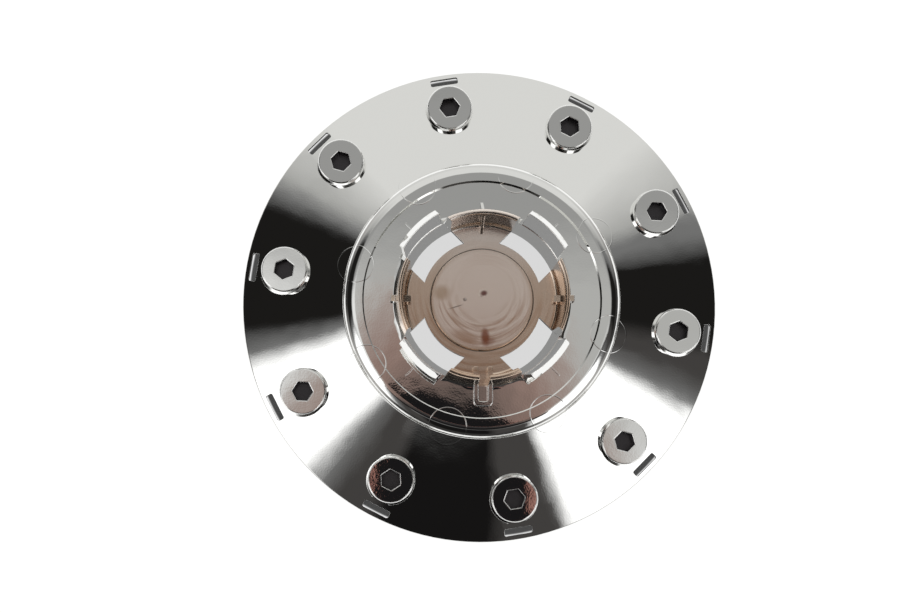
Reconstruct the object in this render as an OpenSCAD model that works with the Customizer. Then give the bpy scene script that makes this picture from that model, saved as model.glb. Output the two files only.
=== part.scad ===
// Wheel center cap for an eight-lug wheel: one chrome-plated moulding.
// A shallow cone reaches out over the lug nuts, with ten moulded socket-screw
// heads, ten slots and ten snap legs. The raised hub in the middle carries the
// seat, the ring, the key and the four snap fingers for an emblem.
// Millimetres. The wheel's axis is Z, and the seen side looks to +Z.
// The origin is on the axis, in the plane of the snap legs' tips.

/* [Moulding] */
// Wall thickness of the moulding
wall = 2.6; // [1.8:0.1:2.8]

/* [Flange] */
// Outside diameter of the flange
rim_d = 210; // [206:1:226]
// Height of the upright edge of the rim
rim_edge_h = 3; // [3:0.1:5]
// Rounding of the rim's upper edge
rim_round = 0.9; // [0.3:0.1:1.4]
// Width of the flat ring that seats on the wheel
seat_w = 1.8; // [1.2:0.1:2.2]
// Slope of the flange, in degrees from the seat plane
flange_slope = 14.8; // [12:0.1:16]

/* [Hub] */
// Diameter of the hub where it rises from the flange
hub_d = 120.6; // [118:0.2:124]
// Height of the upright wall at the hub's foot
hub_foot_h = 1; // [0.8:0.1:2]
// Fillet between the flange and the hub
hub_fillet = 0.6; // [0.3:0.1:1]
// Height of the hub's floor above its foot
hub_rise = 2.4; // [1.6:0.1:5]
// Diameter of the emblem seat, inside the shoulder
seat_d = 102.8; // [100:0.2:104]
// Depth of the emblem seat below the top of the shoulder
seat_step = 2.2; // [1.8:0.1:3]
// Draft of the step round the emblem seat
seat_draft = 0.5; // [0.2:0.1:0.8]
// Diameter of the flat top of the shoulder, where its rounding begins
shoulder_flat_d = 110; // [108:0.2:112]

/* [Screw heads] */
// Number of moulded screw heads, slots and snap legs
head_count = 10; // [5:1:10]
// Direction of the first screw head, in degrees
head_angle = 27; // [0:1:35]
// Diameter of a head's flat face
head_face_d = 19.1; // [18:0.1:20]
// Diameter of a head at its foot
head_foot_d = 22; // [21:0.1:23]
// Height of a head's face above the seat plane
head_face_h = 13; // [12:0.1:15]
// Bevel at the edge of a head's face
head_bevel = 0.4; // [0.2:0.1:0.8]
// Width across the flats of the hexagon socket
socket_af = 8; // [6:0.1:9]
// Depth of the hexagon socket
socket_depth = 5; // [3:0.1:6]

/* [Slots and snap legs] */
// Distance from the outside of the rim in to a slot
slot_inset = 2.2; // [2:0.1:3.5]
// Length of a slot along the rim
slot_l = 12.3; // [11:0.1:14]
// Width of a slot
slot_w = 3.1; // [2.4:0.1:3.4]
// Distance from a head's centre to its flat and to the snap leg behind it
leg_offset = 10.1; // [9.8:0.1:10.6]
// Thickness of a snap leg
leg_t = 2.4; // [2:0.1:2.6]
// Gap between the end of a slot and the side of its leg
leg_side_gap = 0.4; // [0.2:0.1:1]
// Length of the legs below the seat plane
leg_drop = 14; // [12:0.5:18]
// Reach of the hook beyond its leg
hook_reach = 2.6; // [1.5:0.1:3]
// Distance from the seat plane down to the hook
hook_grip = 6; // [5:0.1:8]

/* [Emblem well] */
// Depth of the well's floor below the hub's floor
well_depth = 3.2; // [2:0.1:5]
// Diameter of the raised disc in the middle of the well
disc_d = 44.8; // [40:0.2:48]
// Height of the raised disc
disc_h = 1.8; // [1:0.1:2.2]
// Draft of the disc's edge
disc_slope = 0.4; // [0.2:0.1:1.2]
// Diameter of the gate mark on the disc
gate_d = 3; // [2:0.1:5]
// Height of the gate mark
gate_h = 0.3; // [0.2:0.1:0.6]
// Distance of the gate mark from the axis, away from the key
gate_offset = 2.6; // [0:0.1:6]

/* [Emblem ring] */
// Diameter of the ring, measured at the middle of its rounded top
ring_d = 70.7; // [70:0.1:71.4]
// Thickness of the ring at its top
ring_t = 2.3; // [1.8:0.1:2.6]
// Height of the ring above the hub's floor
ring_h = 18; // [14:0.1:20]
// Thickening of the ring's outside from top to foot
ring_taper_out = 1.1; // [0.6:0.1:1.6]
// Thickening of the ring's inside from top to foot
ring_taper_in = 0.6; // [0.3:0.1:1]
// Fillet at the inner foot of the ring
ring_fillet_in = 1.5; // [0.8:0.1:1.8]
// Fillet at the outer foot of the ring
ring_fillet_out = 2.2; // [1.2:0.1:2.8]

/* [Snap fingers and windows] */
// Width of a window
window_w = 24.4; // [20:0.2:26]
// Radius of a window's inner edge
window_in_r = 26.1; // [24.5:0.1:28]
// Gap between a finger and the ring on each side
finger_gap = 1.5; // [1:0.1:2.5]
// Radius of a finger's inner face at its root
finger_r = 37.2; // [37:0.1:37.8]
// Width of the ledge between a finger's root and the sloping wall below it
root_step = 0.25; // [0.2:0.05:0.6]
// Outward lean of a finger's inner face from root to top
finger_lean = 1.8; // [1:0.1:2]
// Thickness of a finger
finger_t = 2.2; // [1.8:0.1:2.6]
// Height of a finger above the hub's floor
finger_h = 19.5; // [16:0.1:21]
// Width of the flat at a finger's top
finger_flat = 0.9; // [0.6:0.1:1.2]
// Outward reach of the barb beyond that flat
barb_reach = 1.7; // [1:0.1:2.2]
// Height of the barb's ramp
barb_h = 2.2; // [1.5:0.1:3]
// Inward slope of that wall from top to bottom
skirt_in = 3; // [2:0.1:4]
// Depth of that wall below the hub's floor
skirt_h = 10.2; // [9:0.1:12]

/* [Key and ribs] */
// Width of the key channel
key_w = 4.2; // [3.6:0.1:5]
// Thickness of the key channel's wall
key_t = 2; // [1.4:0.1:2.4]
// Radius where the key channel's wall begins
key_in_r = 29.5; // [28:0.1:31]
// Radius where the key channel's wall ends
key_out_r = 46.5; // [44:0.1:49]
// Height of the key channel's wall above the hub's floor
key_h = 4; // [2:0.1:8]
// Thickness of the two side keys
side_key_t = 2.8; // [2:0.1:4]
// Radius where the side keys begin
side_key_in_r = 31; // [30.4:0.1:32]
// Radius where the side keys end
side_key_out_r = 39.8; // [39:0.1:43]
// Height of the side keys above the hub's floor at their outer end
side_key_h = 3.9; // [3:0.1:6]
// Slope of the top of the side keys, in degrees, down to the axis
side_key_slope = 15; // [5:1:20]
// Thickness of the rib opposite the key
rib_t = 1.2; // [0.8:0.1:2]
// Distance from the ring's top down to that rib
rib_drop = 4; // [2:0.1:8]
// Radius where that rib begins
rib_in_r = 29.2; // [28.4:0.1:31]
// Radius where that rib ends
rib_out_r = 42.4; // [41:0.1:45]
// Radius where the thin mark outside each finger ends
mark_r = 47; // [44:0.1:49]
// Width of that mark
mark_w = 0.6; // [0.4:0.1:1]
// Height of that mark
mark_h = 0.4; // [0.2:0.1:0.6]

/* [Hidden] */

$fn = 96;
PLATED = [0.80, 0.80, 0.82];

// One snap finger and its window stand in each quarter, between the keys
FINGERS = 4;
SECTOR = 360 / FINGERS;
// Steps in a quarter turn of a rounding, and a small overlap that fuses solids
ARC_STEPS = 8;
FUSE = 0.5;
// A length past any part of the moulding, for cuts that go right through
FAR = 60;

seat_z = leg_drop;
rim_r = rim_d / 2;
hub_r = hub_d / 2;
seat_r = seat_d / 2;
slope = tan(flange_slope);
// The wall's thickness measured straight up through the sloping flange
wall_up = wall / cos(flange_slope);
foot_z = flange_z(hub_r);
floor_z = foot_z + hub_rise;
shoulder_z = floor_z + seat_step;
well_z = floor_z - well_depth;
disc_z = well_z + disc_h;
face_z = seat_z + head_face_h;

// From the rim inwards: the slot, the leg behind it and the screw head behind the leg
slot_r = rim_r - slot_inset - slot_w / 2;
leg_out_r = slot_r - slot_w / 2;
leg_in_r = leg_out_r - leg_t;
head_r = leg_in_r - leg_offset;
leg_w = slot_l - 2 * leg_side_gap;
hook_z = seat_z - hook_grip;

ring_top_z = floor_z + ring_h;
ring_out_r = ring_d / 2 + ring_t / 2;
ring_in_r = ring_d / 2 - ring_t / 2;
ring_foot_out_r = ring_out_r + ring_taper_out;
ring_foot_in_r = ring_in_r - ring_taper_in;

finger_w = window_w - 2 * finger_gap;
finger_top_z = floor_z + finger_h;
finger_tip_r = finger_r + finger_lean + finger_flat + barb_reach;
skirt_z = floor_z - skirt_h;

// Height of the flange's upper face at radius r
function flange_z(r) = seat_z + rim_edge_h + (rim_r - r) * slope;

// Radius of the sloping wall's inner face at height z, below the fingers' roots
function skirt_face_r(z) = finger_r - root_step - (floor_z - z) * skirt_in / skirt_h;

// Points along an elliptic arc about centre c, from angle a to angle b
function arc(c, rx, ry, a, b) =
    [for (i = [0 : ARC_STEPS])
        let (t = a + (b - a) * i / ARC_STEPS)
        [c[0] + rx * cos(t), c[1] + ry * sin(t)]];

// Places its children at every screw head, with +X pointing away from the axis
module at_heads() {
    for (i = [0 : head_count - 1])
        rotate(head_angle + i * 360 / head_count) children();
}

// Places its children at every snap finger, with +X pointing away from the axis
module at_fingers() {
    for (i = [0 : FINGERS - 1])
        rotate(SECTOR * (i + 0.5)) children();
}

// A section of [radius, height] turned through the sector of one snap finger
module finger_sector() {
    rotate(-SECTOR / 2) rotate_extrude(angle = SECTOR) children();
}

// A plate of thickness t standing in the XZ plane, from a profile of [radius, height]
module standing_plate(t) {
    rotate([90, 0, 0]) linear_extrude(t, center = true) children();
}

// Section of the flange, the hub's shoulder and the hub's floor, wall by wall
module flange_and_hub() {
    flat_r = shoulder_flat_d / 2;
    arc_z = foot_z + hub_foot_h;
    fillet_r = hub_r + hub_fillet;
    fillet_z = flange_z(fillet_r) + hub_fillet / cos(flange_slope);
    under_r = hub_r - wall;
    under_z = floor_z - wall;
    rotate_extrude()
        polygon(concat(
            [[rim_r, seat_z]],
            arc([rim_r - rim_round, flange_z(rim_r) - rim_round], rim_round, rim_round,
                0, 90 - flange_slope),
            arc([fillet_r, fillet_z], hub_fillet, hub_fillet, 270 - flange_slope, 180),
            arc([flat_r, arc_z], hub_r - flat_r, shoulder_z - arc_z, 0, 90),
            [[seat_r + seat_draft, shoulder_z],
             [seat_r, floor_z],
             [ring_in_r, floor_z],
             [ring_in_r, under_z],
             [seat_r, under_z],
             [seat_r + wall / 2, shoulder_z - wall]],
            arc([flat_r, foot_z], under_r - flat_r, shoulder_z - wall - foot_z, 90, 0),
            [[under_r, flange_z(under_r) - wall_up],
             [rim_r - seat_w, flange_z(rim_r - seat_w) - wall_up],
             [rim_r - seat_w, seat_z]]
        ));
}

// Sloping wall below the snap fingers, from their roots down past the well
module well_skirt() {
    rotate_extrude()
        polygon([
            [skirt_face_r(floor_z), floor_z],
            [finger_r + wall, floor_z],
            [finger_r + wall, floor_z - wall],
            [skirt_face_r(skirt_z) + wall, skirt_z],
            [skirt_face_r(skirt_z), skirt_z]
        ]);
}

// Floor of the well with the raised disc, both one wall thick
module well_floor() {
    disc_r = disc_d / 2;
    rotate_extrude()
        polygon([
            [0, disc_z],
            [disc_r - disc_slope, disc_z],
            [disc_r, well_z],
            [finger_r, well_z],
            [finger_r, well_z - wall],
            [disc_r - wall, well_z - wall],
            [disc_r - disc_slope - wall, disc_z - wall],
            [0, disc_z - wall]
        ]);
    translate([0, gate_offset, disc_z - FUSE]) cylinder(h = gate_h + FUSE, d = gate_d);
}

// Ring round the well: a tapered wall with a rounded top and filleted feet
module emblem_ring() {
    top_r = ring_t / 2;
    out_r = ring_foot_out_r;
    in_r = ring_foot_in_r;
    rotate_extrude()
        polygon(concat(
            [[in_r, well_z - FUSE], [in_r - ring_fillet_in, well_z - FUSE]],
            arc([in_r - ring_fillet_in, well_z + ring_fillet_in],
                ring_fillet_in, ring_fillet_in, -90, 0),
            arc([ring_d / 2, ring_top_z - top_r], top_r, top_r, 180, 0),
            arc([out_r + ring_fillet_out, floor_z + ring_fillet_out],
                ring_fillet_out, ring_fillet_out, 180, 270),
            [[out_r + ring_fillet_out, floor_z - FUSE], [out_r, floor_z - FUSE]]
        ));
}

// One snap finger with its outward barb, trimmed square at both ends
module snap_finger() {
    barb_z = finger_top_z - barb_h;
    top_r = finger_r + finger_lean;
    barb_under_z = barb_z - FUSE - barb_reach / 2;
    intersection() {
        finger_sector()
            polygon([
                [finger_r, floor_z - FUSE],
                [finger_r, floor_z],
                [top_r, finger_top_z],
                [top_r + finger_flat, finger_top_z],
                [finger_tip_r, barb_z],
                [finger_tip_r, barb_z - FUSE],
                [top_r + finger_t - barb_reach / 2, barb_under_z],
                [finger_r + finger_t, floor_z - FUSE]
            ]);
        translate([0, -finger_w / 2, 0]) cube([FAR, finger_w, 2 * FAR]);
    }
}

// Window inside a finger, through the well's floor, and the gap in the ring above it
// that the finger stands in. It ends within the sloping wall, which is added later.
module window_cut() {
    gap_out_r = ring_foot_out_r + ring_fillet_out + FUSE;
    low_z = well_z - wall - FUSE;
    inside_skirt = wall / 2;
    intersection() {
        finger_sector()
            polygon([
                [window_in_r, low_z],
                [skirt_face_r(low_z) + inside_skirt, low_z],
                [skirt_face_r(floor_z) + inside_skirt, floor_z],
                [gap_out_r, floor_z],
                [gap_out_r, floor_z + FAR],
                [window_in_r, floor_z + FAR]
            ]);
        translate([0, -window_w / 2, 0]) cube([FAR, window_w, 2 * FAR]);
    }
}

// U-shaped wall of the key, and the channel inside it
module key_outline(w, start_r, end_r, corner_r) {
    translate([start_r, -w / 2]) square([end_r - start_r - corner_r, w]);
    translate([end_r - corner_r - FUSE, -w / 2 + corner_r])
        square([corner_r + FUSE, w - 2 * corner_r]);
    for (side = [-1, 1])
        translate([end_r - corner_r, side * (w / 2 - corner_r)]) circle(corner_r);
}

module key_wall() {
    translate([0, 0, well_z - wall])
        linear_extrude(floor_z + key_h - well_z + wall)
            key_outline(key_w + 2 * key_t, key_in_r, key_out_r, key_t);
}

module key_channel() {
    translate([0, 0, well_z])
        linear_extrude(FAR)
            key_outline(key_w, window_in_r, key_out_r - key_t, key_w / 4);
}

// A low key that crosses the ring at each side, with its top sloping to the axis
module side_key() {
    top_z = floor_z + side_key_h;
    fall = (side_key_out_r - side_key_in_r) * tan(side_key_slope);
    standing_plate(side_key_t)
        polygon([
            [side_key_in_r, well_z - FUSE],
            [side_key_in_r, top_z - fall],
            [side_key_out_r, top_z],
            [side_key_out_r, floor_z - FUSE],
            [ring_in_r, floor_z - FUSE],
            [ring_in_r, well_z - FUSE]
        ]);
}

// Thin rib opposite the key, which stiffens the ring on both sides
module ring_rib() {
    top_z = ring_top_z - rib_drop;
    standing_plate(rib_t)
        polygon([
            [rib_in_r, well_z - FUSE],
            [rib_in_r, well_z + FUSE],
            [ring_in_r, top_z],
            [ring_out_r, top_z],
            [rib_out_r, floor_z + FUSE],
            [rib_out_r, floor_z - FUSE],
            [ring_in_r, floor_z - FUSE],
            [ring_in_r, well_z - FUSE]
        ]);
}

// Outside of one moulded screw head, with the flat beside its slot
module head_solid() {
    face_r = head_face_d / 2;
    foot_r = head_foot_d / 2;
    low_z = flange_z(head_r + foot_r) - wall_up / 2;
    translate([head_r, 0, 0]) intersection() {
        rotate_extrude()
            polygon([
                [0, low_z],
                [foot_r, low_z],
                [face_r + head_bevel, face_z - head_bevel],
                [face_r, face_z],
                [0, face_z]
            ]);
        translate([leg_offset - 2 * foot_r, -foot_r, low_z])
            cube([2 * foot_r, 2 * foot_r, FAR]);
    }
}

// Hollow behind one screw head, round the boss that holds the socket
module head_core() {
    core_r = head_face_d / 2 - wall / 2;
    boss_r = socket_af / 2 / cos(30) + wall / 2;
    translate([head_r, 0, seat_z - FAR]) difference() {
        cylinder(h = FAR + head_face_h - wall, r = core_r);
        translate([0, 0, FAR + head_face_h - socket_depth - wall / 2])
            cylinder(h = FAR, r = boss_r);
    }
}

module socket_cut() {
    translate([head_r, 0, face_z - socket_depth])
        rotate(30) cylinder(h = FAR, d = socket_af / cos(30), $fn = 6);
}

// Slot through the flange, with rounded corners
module slot_cut() {
    corner_r = slot_w / 4;
    translate([slot_r, 0, seat_z - FAR]) linear_extrude(2 * FAR) {
        square([slot_w - 2 * corner_r, slot_l], center = true);
        square([slot_w, slot_l - 2 * corner_r], center = true);
        for (x = [-1, 1], y = [-1, 1])
            translate([x * (slot_w / 2 - corner_r), y * (slot_l / 2 - corner_r)])
                circle(corner_r);
    }
}

// Snap leg with its hook, just inside the slot
module snap_leg() {
    tip_t = leg_t / 2;
    standing_plate(leg_w)
        polygon([
            [leg_in_r, tip_t],
            [leg_in_r + tip_t / 2, 0],
            [leg_out_r, 0],
            [leg_out_r + hook_reach, hook_z - FUSE],
            [leg_out_r + hook_reach, hook_z],
            [leg_out_r, hook_z],
            [leg_out_r, flange_z(leg_out_r) - wall_up / 2],
            [leg_in_r, flange_z(leg_in_r) - wall_up / 2]
        ]);
}

// Thin raised mark on the hub's floor, from a finger's back outwards
module floor_mark() {
    start_r = finger_r + finger_t / 2;
    translate([start_r, -mark_w / 2, floor_z - FUSE])
        cube([mark_r - start_r, mark_w, mark_h + FUSE]);
}

module center_cap() {
    color(PLATED) difference() {
        union() {
            difference() {
                union() {
                    flange_and_hub();
                    well_floor();
                    emblem_ring();
                    side_key();
                    rotate(180) side_key();
                    rotate(90) ring_rib();
                }
                at_fingers() window_cut();
            }
            well_skirt();
            at_fingers() {
                snap_finger();
                floor_mark();
            }
            rotate(-90) key_wall();
            at_heads() {
                head_solid();
                snap_leg();
            }
        }
        rotate(-90) key_channel();
        at_heads() {
            head_core();
            socket_cut();
            slot_cut();
        }
    }
}

center_cap();
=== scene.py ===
"""Looks of the wheel center cap: its plated surface, its fine marks and the studio round it."""

import math

import bpy
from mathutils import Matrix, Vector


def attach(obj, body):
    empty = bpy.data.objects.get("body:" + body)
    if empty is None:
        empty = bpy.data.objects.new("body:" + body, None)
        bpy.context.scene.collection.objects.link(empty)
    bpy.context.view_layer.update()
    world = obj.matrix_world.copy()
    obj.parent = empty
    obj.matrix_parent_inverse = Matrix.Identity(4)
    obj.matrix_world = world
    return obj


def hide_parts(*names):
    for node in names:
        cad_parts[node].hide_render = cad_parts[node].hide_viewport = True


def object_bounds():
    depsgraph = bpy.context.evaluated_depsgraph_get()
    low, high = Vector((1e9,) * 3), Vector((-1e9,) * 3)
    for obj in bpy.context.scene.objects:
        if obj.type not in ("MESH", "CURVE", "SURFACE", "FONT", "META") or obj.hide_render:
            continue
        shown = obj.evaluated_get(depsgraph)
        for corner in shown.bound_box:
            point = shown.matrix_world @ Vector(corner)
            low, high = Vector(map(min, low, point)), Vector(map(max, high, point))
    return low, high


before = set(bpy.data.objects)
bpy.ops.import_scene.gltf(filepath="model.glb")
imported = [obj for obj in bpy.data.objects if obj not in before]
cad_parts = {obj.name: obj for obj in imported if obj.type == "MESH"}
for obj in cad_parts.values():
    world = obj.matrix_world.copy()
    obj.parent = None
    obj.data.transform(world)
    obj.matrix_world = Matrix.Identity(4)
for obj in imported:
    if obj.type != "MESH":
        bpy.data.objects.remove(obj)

bl_info = {
    "name": "Wheel Center Cap Looks",
    "version": (1, 0, 0),
    "blender": (4, 5, 0),
    "location": "3D View > Sidebar > Center Cap",
    "description": "Plates the moulded wheel center cap and sets it in a bright studio",
    "category": "Object",
}

MM = 0.001
BODY = "root"
NODE = "center_cap"
CAD_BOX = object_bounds()
FLOOR_Z = CAD_BOX[0].z
TABLE_SIZE = 12
# Points this near are one point, and faces this level with each other are one face
WELD = 0.002 * MM
LEVEL = math.radians(0.1)

# The camera stands almost over the cap, a little to the left and in front of its axis
CAMERA_PLACE = (-34.5 * MM, -80.4 * MM, 676 * MM)
CAMERA_TILT = (math.radians(6.824), math.radians(-2.189), 0)
CAMERA_LENS = 58.7
CAMERA_SENSOR = 36

# Places on the moulding, as part.scad has them
WELL_Z = 28.01 * MM
FLOOR_TOP_Z = 31.21 * MM
FACE_Z = 27 * MM
DISC_R = 22.4 * MM
GATE = (0.8 * MM, 2.7 * MM, 0)
SEAT_R = 51.4 * MM
WINDOW_HALF = 12.3 * MM
WINDOW_IN_R = 26 * MM
HEAD_R = 87.2 * MM
HEAD_ANGLE = math.radians(27)
HEAD_PITCH = math.radians(36)
HEAD_FOOT_R = 11.5 * MM
SOCKET_R = 4.9 * MM
SOCKET_DEPTH = 5.1 * MM
# The fingers' tops: where the flat top ends and where it ends once eased, and the tip, which drops
TOP_R = 39.4 * MM
TOP_EASED_R = 39.25 * MM
TIP_R = 41.2 * MM
TIP_Z = 48.51 * MM
TIP_DROP = 0.7 * MM
# Which points of the mesh those are: above which height and outside which radius
TOP_ABOVE_Z = TIP_Z + 2 * MM
TOP_OUTSIDE_R = TOP_R + 0.3 * MM
TIP_ABOVE_Z = TIP_Z - 0.8 * MM
# The ring's outer foot fillet as radius and height of the centre and radius of the round, and the
# share of that round that the plated piece shows, and how near to it a point of the mesh lies
FOOT_R = 39.8 * MM
FOOT_Z = 33.41 * MM
FOOT_ROUND = 2.2 * MM
FOOT_SHARE = 0.55
ON_FOOT = 0.03 * MM
# Edges are softer above these heights on the heads and on the ring, and the step round the seat,
# as radius and reach either way, is sharper
HEAD_TOP_Z = FACE_Z - 2 * MM
RING_FOOT_TOP_Z = FLOOR_TOP_Z + 2.6 * MM
SEAT_STEP_R = (SEAT_R + 0.3 * MM, 0.8 * MM)
SEAT_SHARPER = 0.1 * MM
# Circles left by ejector sleeves, with the reach of a circle's line and of its full height
MARK_ANGLE = math.radians(29.5)
MARK_PITCH = math.radians(45)
MARK_CIRCLE_R = 57 * MM
MARK_R = 8 * MM
MARK_HEIGHT = 0.016 * MM
MARK_LINE = (0.26 * MM, 0.05 * MM)
# Sizes and heights of the orange peel and of the moulding's waves
PEEL_SIZE = 0.7 * MM
PEEL_HEIGHT = 0.003 * MM
WAVE_SIZE = 11 * MM
WAVE_HEIGHT = 0.03 * MM
# Roughness of the bright chrome, of the thin plating, and what dull places add
CHROME_ROUGH = 0.02
NICKEL_ROUGH = 0.19
DULL_ROUGH = 0.3
# The thin plating: half the width of its edge, and from where to where it turns lighter, in Y
# towards the back and in radius onto the disc
THIN_EDGE = 0.3 * MM
LIGHTER_Y = (5 * MM, 30 * MM)
LIGHTER_R = (DISC_R, DISC_R - 2.4 * MM)
# The melt's flow lines round the gate: their width and colour, the levels of the swirl between
# which they show, from where to where they begin, and how much stronger they get towards the key
FLOW_WIDTH = 1.6 * MM
FLOW_TONE = "#C29C7E"
FLOW_LEVELS = (0.42, 0.72)
FLOW_START = (8 * MM, 16 * MM)
FLOW_Y = (6 * MM, -8 * MM)
FLOW_STRENGTH = (0.15, 0.8)
# Painted shade, on places where the plating is also duller: the depth over which the sockets get
# dark, the windows' sides and the disc's foot as middle and reach either way, the most that a side
# faces up, and the foot's fade and strength
SOCKET_SHADE_FADE = 0.8 * MM
WINDOW_SIDE_R = (WINDOW_IN_R + 3.6 * MM, 4 * MM)
WINDOW_SIDE_Z = (WELL_Z - 1.4 * MM, 1.45 * MM)
SIDE_UP = 0.4
DISC_FOOT_R = (DISC_R + 0.12 * MM, 0.17 * MM)
DISC_FOOT_Z = (WELL_Z + 1.6 * MM, WELL_Z + 1.1 * MM)
DISC_FOOT_SHADE = 0.75
# Stains and burns on the disc: place, half width and depth in millimetres, turn in degrees,
# colour and strength, and from where to where they fade in, as a share of that size
STAIN_FADE = (1, 0.3)
STAINS = (
    (0.8, 2.7, 2.1, 1.7, 20, "#7A4A46", 0.9),
    (-17.6, 2.9, 5, 4.6, 0, "#B8966A", 0.5),
    (1.3, -16.2, 2.6, 5.2, 4, "#9A5A3E", 0.85),
    (2.4, -18.4, 4.6, 2.6, 12, "#9A5A3E", 0.5),
    (-7.5, -16.4, 9, 3.4, -24, "#B98A66", 0.45),
    (-11.4, -3.2, 4.4, 0.35, 17, "#6E5A50", 0.7),
    (-7.5, 0, 1.1, 1, 0, "#5E4A42", 0.8),
    (-7.3, 0.2, 0.5, 0.5, 0, "#F4EFEA", 1),
)

# Tones of the things in the studio
SOFT_BOX = "#FFFFFF"
WALL = "#D5D5D3"
WALL_SHADE = "#A6A6A4"
WALL_END = "#707070"
CURTAIN = "#403E3D"
SCREEN = "#1A1918"
ROOM = "#151414"
TABLE_WALL = "#CDCDCB"
TABLE_LIT = "#A8A6A4"
TABLE_DARK = "#363534"

# Where each thing begins and ends round the cap, at the height that the sloping flange mirrors:
# the direction in degrees from +X towards +Y, its tone, and how much of it is a soft box
SURROUND = (
    # Curtain, then the screen at the right
    (0, CURTAIN, 0), (6, SCREEN, 0), (24, SCREEN, 0),
    # Pale wall at the back, in shade at both ends
    (30, WALL_END, 0), (33, WALL_END, 0), (38, WALL_SHADE, 0), (53, WALL, 0), (118, WALL, 0),
    (133, WALL_SHADE, 0), (137, WALL_END, 0),
    # Screen at the left
    (141, SCREEN, 0), (174, SCREEN, 0),
    # Left soft box
    (180, WALL_END, 0.1), (187, SOFT_BOX, 1), (215, SOFT_BOX, 1), (223, WALL_END, 0),
    # Dark room behind the camera, with a curtain on each side
    (230, CURTAIN, 0), (240, CURTAIN, 0), (245, ROOM, 0), (277, ROOM, 0), (283, CURTAIN, 0),
    (298, CURTAIN, 0),
    # Right soft box
    (304.5, SOFT_BOX, 1), (344, SOFT_BOX, 1), (349, WALL_END, 0), (356, CURTAIN, 0),
)
# The same turn lower down, where the far parts of the table lie under those things
LOW_SURROUND = (
    (0, TABLE_DARK), (13, TABLE_DARK), (34, TABLE_LIT), (52, TABLE_WALL), (124, TABLE_WALL),
    (140, TABLE_LIT), (160, TABLE_DARK), (175, TABLE_DARK), (200, TABLE_LIT), (216, TABLE_LIT),
    (229, TABLE_DARK), (294, TABLE_DARK), (308, TABLE_LIT), (335, TABLE_LIT), (350, TABLE_DARK),
)
# The ceiling, which darkens from the front to the back, by sine of the angle from the zenith
CEILING = ((0.13, "#ACACAA"), (0.18, "#949493"), (0.25, "#949493"), (0.34, "#747473"))
# Where the ceiling is lit beside each soft box, from and to in X and in Y as sines, and how much
LIT_CEILING = ((0, -0.12, 0.2, 0.1), (0.1, 0.2, 0.1, 0))
LIT_SHARE = 0.6
# Where the walls begin: tilt all round, and sines in Y at the back and in X and Y at the soft boxes
WALL_TILT = (math.radians(19), math.radians(29))
BACK_WALL_Y = (0.26, 0.36)
BOX_X = (0.2, 0.27)
BOX_Y = (0.06, 0)
# Tilts over which the table takes over from the walls, and its far white edge from the table
TABLE_TILT = (math.radians(53), math.radians(68))
HORIZON_TILT = (math.radians(84), math.radians(89))
# The two long edges of the dark room, as the way across each and its start, its end in Y, the
# width of its outermost edge as sines, and the tilt down to which it is seen
ROOM_EDGES = (((0.755, -0.656, 0), 0.064), ((-0.913, -0.408, 0), 0.1055))
ROOM_END = 0.1
ROOM_FADE = (-0.05, -0.02)
ROOM_TILT = (math.radians(28), math.radians(22))
# The soft brown edge of the dark room overhead, by sine of the angle past that edge
DARK_ROOM = ((-0.045, "#AEA8A4"), (0, "#8C766E"), (0.05, "#4A4340"), (0.1, "#343232"))
# The camera in the dark room: its middle, half sizes and lean as sines of the angles from the
# zenith, its soft edge as a share of its size, and the dark below it in Y
BODY_X = 0.033
BODY_Y = 0.01
BODY_WIDE = 0.0535
BODY_HIGH = 0.058
BODY_LEAN = 0.3
BODY_EDGE = (0.94, 1.04)
BODY_TONE = "#181718"
BELOW_Y = (-0.26, -0.17)
# The warm tone round the camera: its reach as a share of the camera's size, where it ends in Y,
# and its strength
WARM_TONE = "#B07C70"
WARM_EDGE = (1.35, 1.08)
WARM_Y = (0.05, 0.02)
WARM_STRENGTH = 0.8
# The tilt that the flange mirrors, and how much upright edges lean for each step below it
FLANGE_TILT = math.radians(33)
LEAN = 0.45
# Chrome returns nine tenths of what it mirrors, so the studio is that much brighter
STUDIO_LEVEL = 1.12
# The dark round shade under the flange, and the table lit through the windows: radius, half the
# width of the soft edge, and brightness
SHADE_MIDDLE = (0.9 * MM, 1.8 * MM, FLOOR_Z)
SHADE_R = 104.8 * MM
SHADE_EDGE = 0.6 * MM
SHADE_LEVEL = 0.035
LIT_R = 44 * MM
LIT_EDGE = 4 * MM
LIT_SEEN = 0.68
LIT_MIRRORED = 0.28


def hex_linear(code, alpha=1):
    """The linear colour of an sRGB hex value."""
    levels = [int(code[i:i + 2], 16) / 255 for i in (1, 3, 5)]
    return (*[v / 12.92 if v <= 0.04045 else ((v + 0.055) / 1.055) ** 2.4 for v in levels], alpha)


def add_node(tree, kind, settings=None, inputs=None):
    """Adds a node, sets its properties, and fills its inputs with values, or with links from
    sockets or other nodes. A node stands for the first of its outputs that is in use."""
    node = tree.nodes.new(kind)
    for name, value in (settings or {}).items():
        setattr(node, name, value)
    for name, value in (inputs or {}).items():
        if isinstance(value, bpy.types.Node):
            value = next(socket for socket in value.outputs if socket.enabled)
        if isinstance(value, bpy.types.NodeSocket):
            tree.links.new(value, node.inputs[name])
        else:
            node.inputs[name].default_value = value
    return node


def fill_ramp(node, stops):
    """Sets a colour ramp's stops, given as places from 0 to 1 and linear colours."""
    ramp = node.color_ramp
    while len(ramp.elements) > 1:
        ramp.elements.remove(ramp.elements[-1])
    ramp.elements[0].position, ramp.elements[0].color = stops[0]
    for place, colour in stops[1:]:
        ramp.elements.new(place).color = colour


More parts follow.
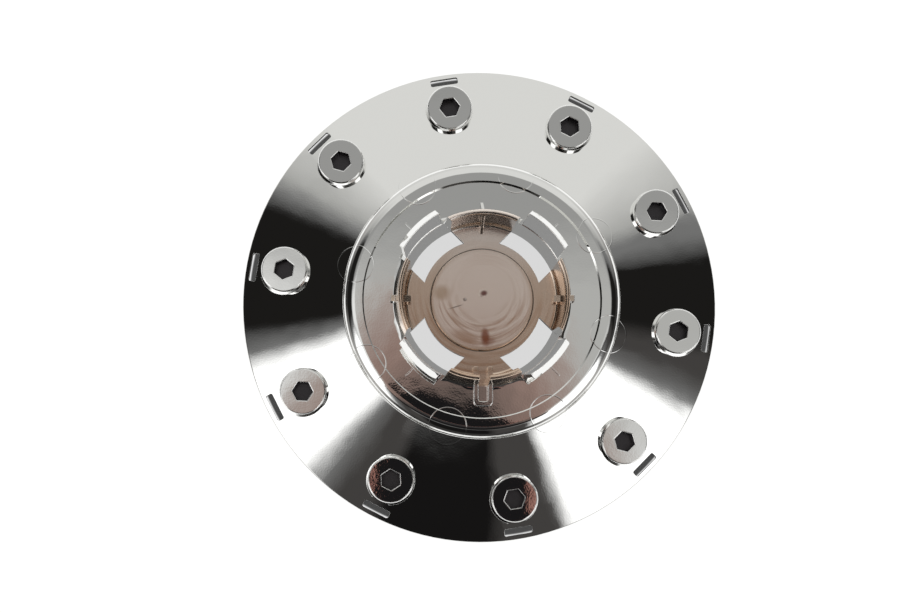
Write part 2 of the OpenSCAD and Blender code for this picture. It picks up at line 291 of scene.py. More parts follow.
class CenterCapLooks(bpy.types.PropertyGroup):
    """Sizes and colours of the plated surface and of the studio."""

    chrome: bpy.props.StringProperty(
        name="Chrome", description="Colour of the bright chrome", default="#F2F2F0")
    nickel: bpy.props.StringProperty(
        name="Nickel", default="#E2CDBA",
        description="Colour of the thin plating in the well, where nickel shows through")
    nickel_back: bpy.props.StringProperty(
        name="Nickel at the back", description="Colour of the thin plating at the back of the well",
        default="#F8EDE4")
    disc: bpy.props.StringProperty(
        name="Disc", description="Colour of the thin plating on the raised disc", default="#FFF1E6")
    # Painted shade: the dark colour deep in the sockets, on the windows' sides and at the disc's
    # foot
    painted_shade_tone: bpy.props.StringProperty(
        name="Recess", default="#4B494B",
        description="Colour of the dull plating deep in the sockets and at the windows' sides")
    smooth_angle: bpy.props.FloatProperty(
        name="Smooth angle", description="Edges flatter than this are shaded smooth",
        default=math.radians(24), subtype="ANGLE")
    edge_radius: bpy.props.FloatProperty(
        name="Edge radius", description="Rounding that the plating gives to every sharp edge",
        default=0.14 * MM, unit="LENGTH", precision=5)
    head_rounding: bpy.props.FloatProperty(
        name="Head rounding", description="Further rounding at the edges of the screw heads",
        default=0.4 * MM, unit="LENGTH", precision=5)
    key_rounding: bpy.props.FloatProperty(
        name="Key rounding", default=0.4 * MM, unit="LENGTH", precision=5,
        description="Further rounding at the tops of the key, the ring and the fingers")
    nickel_radius: bpy.props.FloatProperty(
        name="Nickel radius", description="Radius inside which the plating is thin",
        default=37.6 * MM, unit="LENGTH", precision=4)
    soft_box: bpy.props.FloatProperty(
        name="Soft box", default=1.35,
        description="Strength of the two soft boxes, where 1 is white")


def looks():
    """The settings of the surface and of the studio."""
    return bpy.context.scene.center_cap_looks


def from_axes(tree, radius, turn, first, pitch, circle):
    """Distance to the nearest of the upright axes that stand evenly round a circle."""
    past = add_node(tree, "ShaderNodeMath", {"operation": "SUBTRACT"}, {0: turn, 1: first})
    folded = add_node(tree, "ShaderNodeMath", {"operation": "WRAP"},
                      {0: past, 1: pitch / 2, 2: -pitch / 2})
    along = add_node(tree, "ShaderNodeMath", {"operation": "COSINE"}, {0: folded})
    across = add_node(tree, "ShaderNodeMath", {"operation": "SINE"}, {0: folded})
    along = add_node(tree, "ShaderNodeMath", {"operation": "MULTIPLY"}, {0: along, 1: radius})
    across = add_node(tree, "ShaderNodeMath", {"operation": "MULTIPLY"}, {0: across, 1: radius})
    spot = add_node(tree, "ShaderNodeCombineXYZ", {}, {"X": along, "Y": across})
    return add_node(tree, "ShaderNodeVectorMath", {"operation": "DISTANCE"},
                    {0: spot, 1: (circle, 0, 0)})


def thin_plating(tree, flat, radius, z):
    """Where the plating is thin: inside the ring and above the well, but not at the windows."""
    inside = add_node(tree, "ShaderNodeMapRange", {"interpolation_type": "SMOOTHSTEP"},
                      {"Value": radius, "From Min": looks().nickel_radius + THIN_EDGE,
                       "From Max": looks().nickel_radius - THIN_EDGE})
    upper = add_node(tree, "ShaderNodeMath", {"operation": "GREATER_THAN"},
                     {0: z, 1: WELL_Z - 0.2 * MM})
    thin = add_node(tree, "ShaderNodeMath", {"operation": "MULTIPLY"}, {0: inside, 1: upper})
    # The four windows are alike, so their place is found in one quarter of the plan
    quarter = add_node(tree, "ShaderNodeVectorMath", {"operation": "ABSOLUTE"}, {0: flat})
    beside = add_node(tree, "ShaderNodeVectorMath", {"operation": "DOT_PRODUCT"},
                      {0: quarter, 1: (-math.sqrt(0.5), math.sqrt(0.5), 0)})
    beside = add_node(tree, "ShaderNodeMath", {"operation": "ABSOLUTE"}, {0: beside})
    in_sector = add_node(tree, "ShaderNodeMath", {"operation": "LESS_THAN"},
                         {0: beside, 1: WINDOW_HALF})
    past_window = add_node(tree, "ShaderNodeMath", {"operation": "GREATER_THAN"},
                           {0: radius, 1: WINDOW_IN_R})
    at_window = add_node(tree, "ShaderNodeMath", {"operation": "MULTIPLY"},
                         {0: in_sector, 1: past_window})
    elsewhere = add_node(tree, "ShaderNodeMath", {"operation": "SUBTRACT"}, {0: 1, 1: at_window})
    return add_node(tree, "ShaderNodeMath", {"operation": "MULTIPLY"}, {0: thin, 1: elsewhere})


def well_tone(tree, flat, radius, y):
    """Tone of the thin plating: browner in front, lighter on the disc, with flow lines of the
    melt round the gate, and stains."""
    to_back = add_node(tree, "ShaderNodeMapRange", {"interpolation_type": "SMOOTHSTEP"},
                       {"Value": y, "From Min": LIGHTER_Y[0], "From Max": LIGHTER_Y[1]})
    tone = add_node(tree, "ShaderNodeMix", {"data_type": "RGBA"},
                    {"Factor": to_back, "A": hex_linear(looks().nickel),
                     "B": hex_linear(looks().nickel_back)})
    on_disc = add_node(tree, "ShaderNodeMapRange", {"interpolation_type": "SMOOTHSTEP"},
                       {"Value": radius, "From Min": LIGHTER_R[0], "From Max": LIGHTER_R[1]})
    tone = add_node(tree, "ShaderNodeMix", {"data_type": "RGBA"},
                    {"Factor": on_disc, "A": tone, "B": hex_linear(looks().disc)})
    from_gate = add_node(tree, "ShaderNodeVectorMath", {"operation": "SUBTRACT"},
                         {0: flat, 1: GATE})
    distance = add_node(tree, "ShaderNodeVectorMath", {"operation": "LENGTH"}, {0: from_gate})
    axes = add_node(tree, "ShaderNodeSeparateXYZ", {}, {0: from_gate})
    gate_turn = add_node(tree, "ShaderNodeMath", {"operation": "ARCTAN2"},
                         {0: axes.outputs["Y"], 1: axes.outputs["X"]})
    rings = add_node(tree, "ShaderNodeMath", {"operation": "MULTIPLY"},
                     {0: distance, 1: 1 / FLOW_WIDTH})
    swirl = add_node(tree, "ShaderNodeCombineXYZ", {}, {"X": rings, "Y": gate_turn})
    swirl = add_node(tree, "ShaderNodeTexNoise", {},
                     {"Vector": swirl, "Scale": 1, "Detail": 3, "Distortion": 0.4})
    swirl = add_node(tree, "ShaderNodeMapRange", {},
                     {"Value": swirl, "From Min": FLOW_LEVELS[0],
                      "From Max": FLOW_LEVELS[1]})
    outward = add_node(tree, "ShaderNodeMapRange", {"interpolation_type": "SMOOTHSTEP"},
                       {"Value": distance, "From Min": FLOW_START[0],
                        "From Max": FLOW_START[1]})
    to_key = add_node(tree, "ShaderNodeMapRange", {"interpolation_type": "SMOOTHSTEP"},
                      {"Value": y, "From Min": FLOW_Y[0], "From Max": FLOW_Y[1],
                       "To Min": FLOW_STRENGTH[0], "To Max": FLOW_STRENGTH[1]})
    amount = add_node(tree, "ShaderNodeMath", {"operation": "MULTIPLY"}, {0: outward, 1: to_key})
    amount = add_node(tree, "ShaderNodeMath", {"operation": "MULTIPLY"}, {0: amount, 1: swirl})
    tone = add_node(tree, "ShaderNodeMix", {"data_type": "RGBA"},
                    {"Factor": amount, "A": tone, "B": hex_linear(FLOW_TONE)})
    for spot_x, spot_y, wide, deep, angle, code, strength in STAINS:
        near = add_node(tree, "ShaderNodeMapping", {"vector_type": "TEXTURE"},
                        {"Vector": flat, "Location": (spot_x * MM, spot_y * MM, 0),
                         "Rotation": (0, 0, math.radians(angle)),
                         "Scale": (wide * MM, deep * MM, 1)})
        near = add_node(tree, "ShaderNodeVectorMath", {"operation": "LENGTH"}, {0: near})
        near = add_node(tree, "ShaderNodeMapRange", {"interpolation_type": "SMOOTHSTEP"},
                        {"Value": near, "From Min": STAIN_FADE[0],
                         "From Max": STAIN_FADE[1], "To Max": strength})
        tone = add_node(tree, "ShaderNodeMix", {"data_type": "RGBA"},
                        {"Factor": near, "A": tone, "B": hex_linear(code)})
    return tone


def painted_shade_and_dull(tree, radius, z, off_head, normal):
    """Where painted shade darkens the plating, which is also duller there: deep in the sockets, on
    the windows' cut sides and at the disc's foot."""
    in_socket = add_node(tree, "ShaderNodeMath", {"operation": "LESS_THAN"},
                         {0: off_head, 1: SOCKET_R})
    below_face = add_node(tree, "ShaderNodeMapRange", {"interpolation_type": "SMOOTHSTEP"},
                          {"Value": z, "From Min": FACE_Z, "From Max": FACE_Z - SOCKET_SHADE_FADE})
    above_bottom = add_node(tree, "ShaderNodeMath", {"operation": "GREATER_THAN"},
                            {0: z, 1: FACE_Z - SOCKET_DEPTH})
    socket = add_node(tree, "ShaderNodeMath", {"operation": "MULTIPLY"},
                      {0: in_socket, 1: below_face})
    socket = add_node(tree, "ShaderNodeMath", {"operation": "MULTIPLY"},
                      {0: socket, 1: above_bottom})
    upright = add_node(tree, "ShaderNodeSeparateXYZ", {}, {0: normal})
    upright = add_node(tree, "ShaderNodeMath", {"operation": "ABSOLUTE"},
                       {0: upright.outputs["Z"]})
    upright = add_node(tree, "ShaderNodeMath", {"operation": "LESS_THAN"},
                       {0: upright, 1: SIDE_UP})
    near_window = add_node(tree, "ShaderNodeMath", {"operation": "COMPARE"},
                           {0: radius, 1: WINDOW_SIDE_R[0], 2: WINDOW_SIDE_R[1]})
    in_floor = add_node(tree, "ShaderNodeMath", {"operation": "COMPARE"},
                        {0: z, 1: WINDOW_SIDE_Z[0], 2: WINDOW_SIDE_Z[1]})
    side = add_node(tree, "ShaderNodeMath", {"operation": "MULTIPLY"},
                    {0: upright, 1: near_window})
    side = add_node(tree, "ShaderNodeMath", {"operation": "MULTIPLY"}, {0: side, 1: in_floor})
    # A thin line of painted shade round the disc's foot
    foot_shade = add_node(tree, "ShaderNodeMath", {"operation": "COMPARE"},
                    {0: radius, 1: DISC_FOOT_R[0], 2: DISC_FOOT_R[1]})
    below_disc = add_node(tree, "ShaderNodeMapRange", {},
                          {"Value": z, "From Min": DISC_FOOT_Z[0],
                           "From Max": DISC_FOOT_Z[1], "To Max": DISC_FOOT_SHADE})
    foot_shade = add_node(tree, "ShaderNodeMath", {"operation": "MULTIPLY"}, {0: foot_shade, 1: below_disc})
    shade_and_dull = add_node(tree, "ShaderNodeMath", {"operation": "MAXIMUM"}, {0: socket, 1: side})
    return add_node(tree, "ShaderNodeMath", {"operation": "MAXIMUM"}, {0: shade_and_dull, 1: foot_shade})


def soft_edges(tree, radius, z, off_head):
    """Every edge is a little rounded by the plating, those of the heads, the key and the ring
    more than the rest, and the step round the emblem seat less."""
    on_head = add_node(tree, "ShaderNodeMath", {"operation": "LESS_THAN"},
                       {0: off_head, 1: HEAD_FOOT_R})
    head_top = add_node(tree, "ShaderNodeMath", {"operation": "GREATER_THAN"},
                        {0: z, 1: HEAD_TOP_Z})
    on_head = add_node(tree, "ShaderNodeMath", {"operation": "MULTIPLY"},
                       {0: on_head, 1: head_top})
    raised = add_node(tree, "ShaderNodeMath", {"operation": "GREATER_THAN"},
                      {0: z, 1: RING_FOOT_TOP_Z})
    soft = add_node(tree, "ShaderNodeMath", {"operation": "MULTIPLY_ADD"},
                    {0: on_head, 1: looks().head_rounding, 2: looks().edge_radius})
    soft = add_node(tree, "ShaderNodeMath", {"operation": "MULTIPLY_ADD"},
                    {0: raised, 1: looks().key_rounding, 2: soft})
    at_seat = add_node(tree, "ShaderNodeMath", {"operation": "COMPARE"},
                       {0: radius, 1: SEAT_STEP_R[0], 2: SEAT_STEP_R[1]})
    soft = add_node(tree, "ShaderNodeMath", {"operation": "MULTIPLY_ADD"},
                    {0: at_seat, 1: -SEAT_SHARPER, 2: soft})
    return add_node(tree, "ShaderNodeBevel", {"samples": 6}, {"Radius": soft})


def fine_relief(tree, place, rounded, off_mark):
    """Orange peel, drawn coarser than the real one so that it shows, the slow waves of a
    moulding, and the fine raised circles that ejector sleeves left round the shoulder."""
    peel = add_node(tree, "ShaderNodeTexNoise", {},
                    {"Vector": place, "Scale": 1 / PEEL_SIZE, "Detail": 1})
    relief = add_node(tree, "ShaderNodeBump", {},
                      {"Strength": 1, "Distance": PEEL_HEIGHT, "Height": peel,
                       "Normal": rounded})
    wave = add_node(tree, "ShaderNodeTexNoise", {},
                    {"Vector": place, "Scale": 1 / WAVE_SIZE, "Detail": 1})
    relief = add_node(tree, "ShaderNodeBump", {},
                      {"Strength": 1, "Distance": WAVE_HEIGHT, "Height": wave,
                       "Normal": relief})
    off_line = add_node(tree, "ShaderNodeMath", {"operation": "SUBTRACT"},
                        {0: off_mark, 1: MARK_R})
    off_line = add_node(tree, "ShaderNodeMath", {"operation": "ABSOLUTE"}, {0: off_line})
    line = add_node(tree, "ShaderNodeMapRange", {"interpolation_type": "SMOOTHSTEP"},
                    {"Value": off_line, "From Min": MARK_LINE[0], "From Max": MARK_LINE[1]})
    return add_node(tree, "ShaderNodeBump", {},
                    {"Strength": 1, "Distance": MARK_HEIGHT, "Height": line, "Normal": relief})


def plated_abs():
    """ABS moulding with bright chrome over nickel: a clear mirror with a fine orange peel, a
    browner, duller tone in the well, where the emblem's place kept the chrome thin, and painted
    shade deep in the sockets, on the windows' sides and at the disc's foot."""
    material = bpy.data.materials.new("chrome_plated_abs")
    material.use_nodes = True
    tree = material.node_tree
    shader = tree.nodes["Principled BSDF"]
    shader.inputs["Metallic"].default_value = 1
    coordinates = add_node(tree, "ShaderNodeTexCoord")
    place = coordinates.outputs["Object"]
    axes = add_node(tree, "ShaderNodeSeparateXYZ", {}, {0: place})
    y, z = axes.outputs["Y"], axes.outputs["Z"]
    flat = add_node(tree, "ShaderNodeVectorMath", {"operation": "MULTIPLY"},
                    {0: place, 1: (1, 1, 0)})
    radius = add_node(tree, "ShaderNodeVectorMath", {"operation": "LENGTH"}, {0: flat})
    turn = add_node(tree, "ShaderNodeMath", {"operation": "ARCTAN2"},
                    {0: y, 1: axes.outputs["X"]})
    off_head = from_axes(tree, radius, turn, HEAD_ANGLE, HEAD_PITCH, HEAD_R)
    off_mark = from_axes(tree, radius, turn, MARK_ANGLE, MARK_PITCH, MARK_CIRCLE_R)

    thin = thin_plating(tree, flat, radius, z)
    tone = add_node(tree, "ShaderNodeMix", {"data_type": "RGBA"},
                    {"Factor": thin, "A": hex_linear(looks().chrome),
                     "B": well_tone(tree, flat, radius, y)})
    # Painted shade darkens the colour deep in the sockets, on the windows' sides and at the disc's
    # foot; the plating there is also duller
    shade_and_dull = painted_shade_and_dull(tree, radius, z, off_head, coordinates.outputs["Normal"])
    tone = add_node(tree, "ShaderNodeMix", {"data_type": "RGBA"},
                    {"Factor": shade_and_dull, "A": tone, "B": hex_linear(looks().painted_shade_tone)})
    tree.links.new(tone.outputs["Result"], shader.inputs["Base Color"])
    rough = add_node(tree, "ShaderNodeMapRange", {},
                     {"Value": thin, "To Min": CHROME_ROUGH, "To Max": NICKEL_ROUGH})
    rough = add_node(tree, "ShaderNodeMath", {"operation": "MULTIPLY_ADD"},
                     {0: shade_and_dull, 1: DULL_ROUGH, 2: rough})
    tree.links.new(rough.outputs["Value"], shader.inputs["Roughness"])
    rounded = soft_edges(tree, radius, z, off_head)
    relief = fine_relief(tree, place, rounded, off_mark)
    tree.links.new(relief.outputs["Normal"], shader.inputs["Normal"])
    return material


def ease_ring(mesh):
    """Slopes the tops of the four fingers outwards, and tightens the fillet at the ring's foot
    between them."""
    for vertex in mesh.vertices:
        x, y, z = vertex.co
        r = math.hypot(x, y)
        off_window = abs(abs(y) - abs(x)) * math.sqrt(0.5)
        on_foot = abs(math.hypot(r - FOOT_R, z - FOOT_Z) - FOOT_ROUND) < ON_FOOT
        if off_window > WINDOW_HALF and on_foot and r < FOOT_R and z < FOOT_Z:
            foot_r, foot_z = FOOT_R - FOOT_ROUND, FOOT_Z - FOOT_ROUND
            new_r = foot_r + (r - foot_r) * FOOT_SHARE
            vertex.co = (x * new_r / r, y * new_r / r, foot_z + (z - foot_z) * FOOT_SHARE)
        if z > TOP_ABOVE_Z and r > TOP_OUTSIDE_R:
            vertex.co = (x * TOP_EASED_R / r, y * TOP_EASED_R / r, z)
        elif z > TIP_ABOVE_Z and r > TIP_R:
            vertex.co.z = z - TIP_DROP


class CAP_OT_moulding(bpy.types.Operator):
    """Makes the smooth plated moulding from the frame's solid"""

    bl_idname = "center_cap.moulding"
    bl_label = "Plated moulding"

    def execute(self, context):
        bpy.ops.object.select_all(action="DESELECT")
        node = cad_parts[NODE]
        node.select_set(True)
        context.view_layer.objects.active = node
        bpy.ops.object.duplicate()
        piece = context.view_layer.objects.active
        piece.name = "plated_moulding"
        bpy.ops.mesh.customdata_custom_splitnormals_clear()
        bpy.ops.object.mode_set(mode="EDIT")
        bpy.ops.mesh.select_all(action="SELECT")
        bpy.ops.mesh.remove_doubles(threshold=WELD)
        bpy.ops.mesh.dissolve_limited(angle_limit=LEVEL)
        bpy.ops.object.mode_set(mode="OBJECT")
        ease_ring(piece.data)
        bpy.ops.object.shade_smooth_by_angle(angle=looks().smooth_angle)
        piece.modifiers.new("even normals", "WEIGHTED_NORMAL").keep_sharp = True
        bpy.ops.object.modifier_apply(modifier="even normals")
        piece.data.materials.clear()
        piece.data.materials.append(plated_abs())
        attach(piece, BODY)
        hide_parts(NODE)
        return {"FINISHED"}


def walls_around(tree, turn, tilt):
    """The things all round the cap, with the far parts of the table under them."""
    # The upright edges stand off the axis, so they lean towards the front as they go down
    side = add_node(tree, "ShaderNodeMath", {"operation": "COSINE"}, {0: turn})
    drop = add_node(tree, "ShaderNodeMath", {"operation": "SUBTRACT"}, {0: tilt, 1: FLANGE_TILT})
    lean = add_node(tree, "ShaderNodeMath", {"operation": "MULTIPLY"}, {0: side, 1: drop})
    leaned = add_node(tree, "ShaderNodeMath", {"operation": "MULTIPLY_ADD"},
                      {0: lean, 1: LEAN, 2: turn})
    rings = []
    for way in (leaned, turn):
        share = add_node(tree, "ShaderNodeMath", {"operation": "MULTIPLY"},
                         {0: way, 1: 1 / (2 * math.pi)})
        share = add_node(tree, "ShaderNodeMath", {"operation": "FRACT"}, {0: share})
        rings.append(add_node(tree, "ShaderNodeValToRGB", {}, {"Fac": share}))
    ring, low_ring = rings
    fill_ramp(ring, [(place / 360, hex_linear(code, box)) for place, code, box in SURROUND])
    fill_ramp(low_ring, [(place / 360, hex_linear(code)) for place, code in LOW_SURROUND])
    glow = add_node(tree, "ShaderNodeMath", {"operation": "MULTIPLY_ADD"},
                    {0: ring.outputs["Alpha"], 1: looks().soft_box - 1, 2: 1})
    lit = add_node(tree, "ShaderNodeVectorMath", {"operation": "SCALE"},
                   {0: ring, "Scale": glow})
    lower = add_node(tree, "ShaderNodeMapRange", {"interpolation_type": "SMOOTHSTEP"},
                     {"Value": tilt, "From Min": TABLE_TILT[0], "From Max": TABLE_TILT[1]})
    walls = add_node(tree, "ShaderNodeMix", {"data_type": "RGBA"},
                     {"Factor": lower, "A": lit, "B": low_ring})
    # The table's far white edge, at the horizon
    horizon = add_node(tree, "ShaderNodeMapRange", {"interpolation_type": "SMOOTHSTEP"},
                       {"Value": tilt, "From Min": HORIZON_TILT[0],
                        "From Max": HORIZON_TILT[1]})
    return add_node(tree, "ShaderNodeMix", {"data_type": "RGBA"},
                    {"Factor": horizon, "A": walls, "B": (1, 1, 1, 1)})


def ceiling_overhead(tree, x, y):
    """The ceiling, darker to the back and lit beside each soft box."""
    near, far = CEILING[0][0], CEILING[-1][0]
    overhead = add_node(tree, "ShaderNodeMapRange", {},
                        {"Value": y, "From Min": near, "From Max": far})
    ceiling = add_node(tree, "ShaderNodeValToRGB", {}, {"Fac": overhead})
    fill_ramp(ceiling, [((place - near) / (far - near), hex_linear(code))
                        for place, code in CEILING])
    lit = []
    for low_x, high_x, low_y, high_y in LIT_CEILING:
        near_x = add_node(tree, "ShaderNodeMapRange", {"interpolation_type": "SMOOTHSTEP"},
                          {"Value": x, "From Min": low_x, "From Max": high_x,
                           "To Max": LIT_SHARE})
        near_y = add_node(tree, "ShaderNodeMapRange", {"interpolation_type": "SMOOTHSTEP"},
                          {"Value": y, "From Min": low_y, "From Max": high_y})
        lit.append(add_node(tree, "ShaderNodeMath", {"operation": "MULTIPLY"},
                            {0: near_x, 1: near_y}))
    lit = add_node(tree, "ShaderNodeMath", {"operation": "MAXIMUM"}, {0: lit[0], 1: lit[1]})
    return add_node(tree, "ShaderNodeMix", {"data_type": "RGBA"},
                    {"Factor": lit, "A": ceiling, "B": (1, 1, 1, 1)})


def where_walls_begin(tree, x, y, tilt):
    """Where the walls meet the ceiling: sooner at the back and at the soft boxes."""
    low_edge = add_node(tree, "ShaderNodeMapRange", {"interpolation_type": "SMOOTHSTEP"},
                        {"Value": tilt, "From Min": WALL_TILT[0], "From Max": WALL_TILT[1]})
    back_edge = add_node(tree, "ShaderNodeMapRange", {"interpolation_type": "SMOOTHSTEP"},
                         {"Value": y, "From Min": BACK_WALL_Y[0],
                          "From Max": BACK_WALL_Y[1]})
    sideways = add_node(tree, "ShaderNodeMath", {"operation": "ABSOLUTE"}, {0: x})
    box_edge = add_node(tree, "ShaderNodeMapRange", {"interpolation_type": "SMOOTHSTEP"},
                        {"Value": sideways, "From Min": BOX_X[0], "From Max": BOX_X[1]})
    front = add_node(tree, "ShaderNodeMapRange", {"interpolation_type": "SMOOTHSTEP"},
                     {"Value": y, "From Min": BOX_Y[0], "From Max": BOX_Y[1]})
    box_edge = add_node(tree, "ShaderNodeMath", {"operation": "MULTIPLY"},
                        {0: box_edge, 1: front})
    meet = add_node(tree, "ShaderNodeMath", {"operation": "MAXIMUM"},
                    {0: low_edge, 1: back_edge})
    return add_node(tree, "ShaderNodeMath", {"operation": "MAXIMUM"}, {0: meet, 1: box_edge})


def depth_in_room(tree, toward, y):
    """How far past the nearest edge of the dark room a direction is: two straight edges meet a
    little behind the zenith, and a third closes them."""
    depths = [add_node(tree, "ShaderNodeMath", {"operation": "SUBTRACT"}, {0: ROOM_END, 1: y})]
    for across, start in ROOM_EDGES:
        edge = add_node(tree, "ShaderNodeVectorMath", {"operation": "DOT_PRODUCT"},
                        {0: toward, 1: across})
        depths.append(add_node(tree, "ShaderNodeMath", {"operation": "ADD"},
                               {0: edge, 1: start}))
    depth = add_node(tree, "ShaderNodeMath", {"operation": "MINIMUM"},
                     {0: depths[1], 1: depths[2]})
    return add_node(tree, "ShaderNodeMath", {"operation": "MINIMUM"}, {0: depth, 1: depths[0]})


def dark_room(tree, depth, toward, x, y):
    """The dark room, with the darker camera in it, the warm tones on both sides of the camera
    and the darkness below it."""
    near, far = DARK_ROOM[0][0], DARK_ROOM[-1][0]
    inward = add_node(tree, "ShaderNodeMapRange", {},
                      {"Value": depth, "From Min": near, "From Max": far})
    room = add_node(tree, "ShaderNodeValToRGB", {}, {"Fac": inward})
    fill_ramp(room, [((place - near) / (far - near), hex_linear(code))
                     for place, code in DARK_ROOM])
    # The camera is a leaning box with round corners: the size of its two squares together
    slant = add_node(tree, "ShaderNodeVectorMath", {"operation": "DOT_PRODUCT"},
                     {0: toward, 1: (BODY_LEAN, 1, 0)})
    body = add_node(tree, "ShaderNodeCombineXYZ", {}, {"X": x, "Y": slant})
    body = add_node(tree, "ShaderNodeVectorMath", {"operation": "MULTIPLY_ADD"},
                    {0: body, 1: (1 / BODY_WIDE, 1 / BODY_HIGH, 0),
                     2: (-BODY_X / BODY_WIDE, -BODY_Y / BODY_HIGH, 0)})
    body = add_node(tree, "ShaderNodeVectorMath", {"operation": "MULTIPLY"}, {0: body, 1: body})
    body = add_node(tree, "ShaderNodeVectorMath", {"operation": "LENGTH"}, {0: body})
    warm = add_node(tree, "ShaderNodeMapRange", {"interpolation_type": "SMOOTHSTEP"},
                    {"Value": body, "From Min": WARM_EDGE[0], "From Max": WARM_EDGE[1]})
    warm_side = add_node(tree, "ShaderNodeMapRange", {"interpolation_type": "SMOOTHSTEP"},
                         {"Value": y, "From Min": WARM_Y[0], "From Max": WARM_Y[1],
                          "To Max": WARM_STRENGTH})
    warm = add_node(tree, "ShaderNodeMath", {"operation": "MULTIPLY"}, {0: warm, 1: warm_side})
    room = add_node(tree, "ShaderNodeMix", {"data_type": "RGBA"},
                    {"Factor": warm, "A": room, "B": hex_linear(WARM_TONE)})
    outside = add_node(tree, "ShaderNodeMapRange", {"interpolation_type": "SMOOTHSTEP"},
                       {"Value": body, "From Min": BODY_EDGE[0], "From Max": BODY_EDGE[1]})
    above_dark = add_node(tree, "ShaderNodeMapRange", {"interpolation_type": "SMOOTHSTEP"},
                          {"Value": y, "From Min": BELOW_Y[0], "From Max": BELOW_Y[1]})
    outside = add_node(tree, "ShaderNodeMath", {"operation": "MINIMUM"},
                       {0: outside, 1: above_dark})
    return add_node(tree, "ShaderNodeMix", {"data_type": "RGBA"},
                    {"Factor": outside, "A": hex_linear(BODY_TONE), "B": room})


def studio_world():
    """The studio as the chrome sees it: walls and screens all round, two soft boxes, a lighter
    ceiling, and the dark room behind the camera that reaches up past the zenith."""
    world = bpy.data.worlds.new("studio")
    world.use_nodes = True
    tree = world.node_tree
    toward = add_node(tree, "ShaderNodeTexCoord").outputs["Generated"]
    axes = add_node(tree, "ShaderNodeSeparateXYZ", {}, {0: toward})
    x, y, z = axes.outputs["X"], axes.outputs["Y"], axes.outputs["Z"]
    turn = add_node(tree, "ShaderNodeMath", {"operation": "ARCTAN2"}, {0: y, 1: x})
    tilt = add_node(tree, "ShaderNodeMath", {"operation": "ARCCOSINE"}, {0: z})
    seen = add_node(tree, "ShaderNodeMix", {"data_type": "RGBA"},
                    {"Factor": where_walls_begin(tree, x, y, tilt),
                     "A": ceiling_overhead(tree, x, y), "B": walls_around(tree, turn, tilt)})
    depth = depth_in_room(tree, toward, y)
    inner = add_node(tree, "ShaderNodeMapRange", {"interpolation_type": "SMOOTHSTEP"},
                     {"Value": depth, "From Min": ROOM_FADE[0], "From Max": ROOM_FADE[1]})
    high = add_node(tree, "ShaderNodeMapRange", {"interpolation_type": "SMOOTHSTEP"},
                    {"Value": tilt, "From Min": ROOM_TILT[0], "From Max": ROOM_TILT[1]})
    inner = add_node(tree, "ShaderNodeMath", {"operation": "MULTIPLY"}, {0: inner, 1: high})
    seen = add_node(tree, "ShaderNodeMix", {"data_type": "RGBA"},
                    {"Factor": inner, "A": seen, "B": dark_room(tree, depth, toward, x, y)})
    background = tree.nodes["Background"]
    tree.links.new(seen.outputs["Result"], background.inputs["Color"])
    background.inputs["Strength"].default_value = STUDIO_LEVEL
    return world


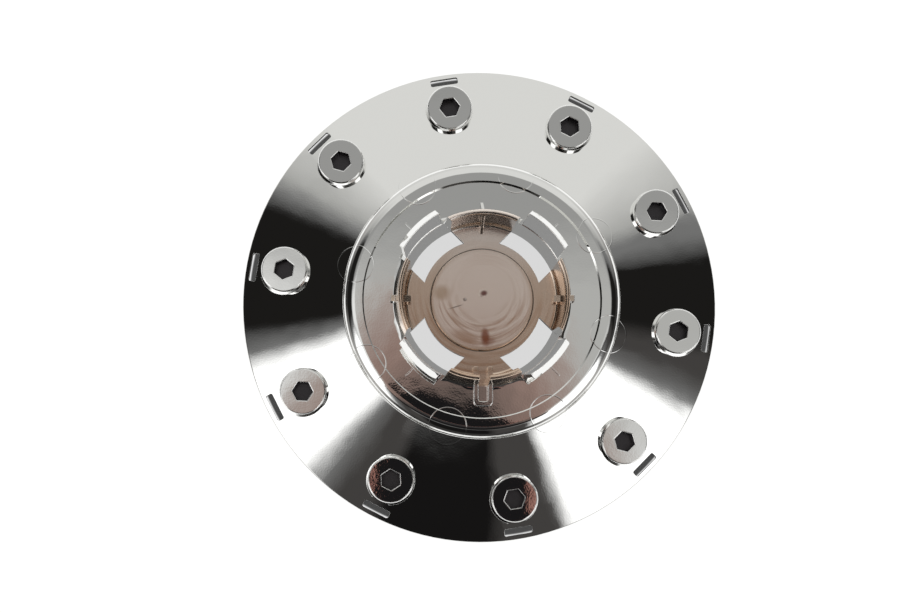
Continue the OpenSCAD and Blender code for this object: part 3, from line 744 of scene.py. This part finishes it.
def white_table():
    """White laminate table top. It stays white in the mirror, is dark under the flange, and is
    lit through the four windows in the middle."""
    material = bpy.data.materials.new("white_table")
    material.use_nodes = True
    tree = material.node_tree
    shader = tree.nodes["Principled BSDF"]
    shader.inputs["Base Color"].default_value = (0.1, 0.1, 0.1, 1)
    shader.inputs["Roughness"].default_value = 1
    shader.inputs["Specular IOR Level"].default_value = 0
    path = add_node(tree, "ShaderNodeLightPath")
    seen = add_node(tree, "ShaderNodeMath", {"operation": "MAXIMUM"},
                    {0: path.outputs["Is Camera Ray"], 1: path.outputs["Is Glossy Ray"]})
    seen = add_node(tree, "ShaderNodeMath", {"operation": "MAXIMUM"},
                    {0: seen, 1: path.outputs["Is Transmission Ray"]})
    place = add_node(tree, "ShaderNodeTexCoord").outputs["Object"]
    from_shade = add_node(tree, "ShaderNodeVectorMath", {"operation": "DISTANCE"},
                          {0: place, 1: SHADE_MIDDLE})
    open_table = add_node(tree, "ShaderNodeMapRange", {"interpolation_type": "SMOOTHSTEP"},
                          {"Value": from_shade, "From Min": SHADE_R - SHADE_EDGE,
                           "From Max": SHADE_R + SHADE_EDGE, "To Min": SHADE_LEVEL})
    from_middle = add_node(tree, "ShaderNodeVectorMath", {"operation": "LENGTH"}, {0: place})
    under_windows = add_node(tree, "ShaderNodeMapRange", {"interpolation_type": "SMOOTHSTEP"},
                             {"Value": from_middle, "From Min": LIT_R + LIT_EDGE,
                              "From Max": LIT_R - LIT_EDGE})
    lit_level = add_node(tree, "ShaderNodeMapRange", {},
                         {"Value": path.outputs["Is Camera Ray"],
                          "To Min": LIT_MIRRORED, "To Max": LIT_SEEN})
    lit_level = add_node(tree, "ShaderNodeMath", {"operation": "MULTIPLY"},
                         {0: under_windows, 1: lit_level})
    level = add_node(tree, "ShaderNodeMath", {"operation": "MAXIMUM"},
                     {0: open_table, 1: lit_level})
    level = add_node(tree, "ShaderNodeMath", {"operation": "MULTIPLY"}, {0: seen, 1: level})
    glow = add_node(tree, "ShaderNodeEmission", {}, {"Strength": level})
    both = add_node(tree, "ShaderNodeAddShader", {}, {0: glow, 1: shader})
    tree.links.new(both.outputs["Shader"], tree.nodes["Material Output"].inputs["Surface"])
    return material


class CAP_OT_studio(bpy.types.Operator):
    """Sets the table, the studio's light and the camera"""

    bl_idname = "center_cap.studio"
    bl_label = "Studio"

    def execute(self, context):
        bpy.ops.object.select_all(action="DESELECT")
        bpy.ops.mesh.primitive_plane_add(size=TABLE_SIZE, location=(0, 0, FLOOR_Z))
        table = context.view_layer.objects.active
        table.name = "table"
        bpy.ops.object.transform_apply(location=True, rotation=False, scale=False)
        table.data.materials.append(white_table())
        scene = context.scene
        scene.world = studio_world()
        scene.view_settings.view_transform = "Standard"
        bpy.ops.object.camera_add(location=CAMERA_PLACE)
        camera = context.view_layer.objects.active
        camera.rotation_mode = "YXZ"
        camera.rotation_euler = CAMERA_TILT
        camera.data.lens = CAMERA_LENS
        camera.data.sensor_width = CAMERA_SENSOR
        scene.camera = camera
        return {"FINISHED"}


class CAP_PT_looks(bpy.types.Panel):
    """Shows the cap's settings and the buttons that make the moulding and the studio"""

    bl_idname = "CAP_PT_looks"
    bl_label = "Center Cap"
    bl_space_type = "VIEW_3D"
    bl_region_type = "UI"
    bl_category = "Center Cap"

    def draw(self, context):
        layout = self.layout
        for name in CenterCapLooks.__annotations__:
            layout.prop(context.scene.center_cap_looks, name)
        layout.operator(CAP_OT_moulding.bl_idname)
        layout.operator(CAP_OT_studio.bl_idname)


CLASSES = (CenterCapLooks, CAP_OT_moulding, CAP_OT_studio, CAP_PT_looks)


def register():
    for cls in CLASSES:
        bpy.utils.register_class(cls)
    bpy.types.Scene.center_cap_looks = bpy.props.PointerProperty(type=CenterCapLooks)


def unregister():
    del bpy.types.Scene.center_cap_looks
    for cls in reversed(CLASSES):
        bpy.utils.unregister_class(cls)


def main():
    register()
    bpy.ops.center_cap.moulding()
    bpy.ops.center_cap.studio()


if __name__ == "__main__":
    main()
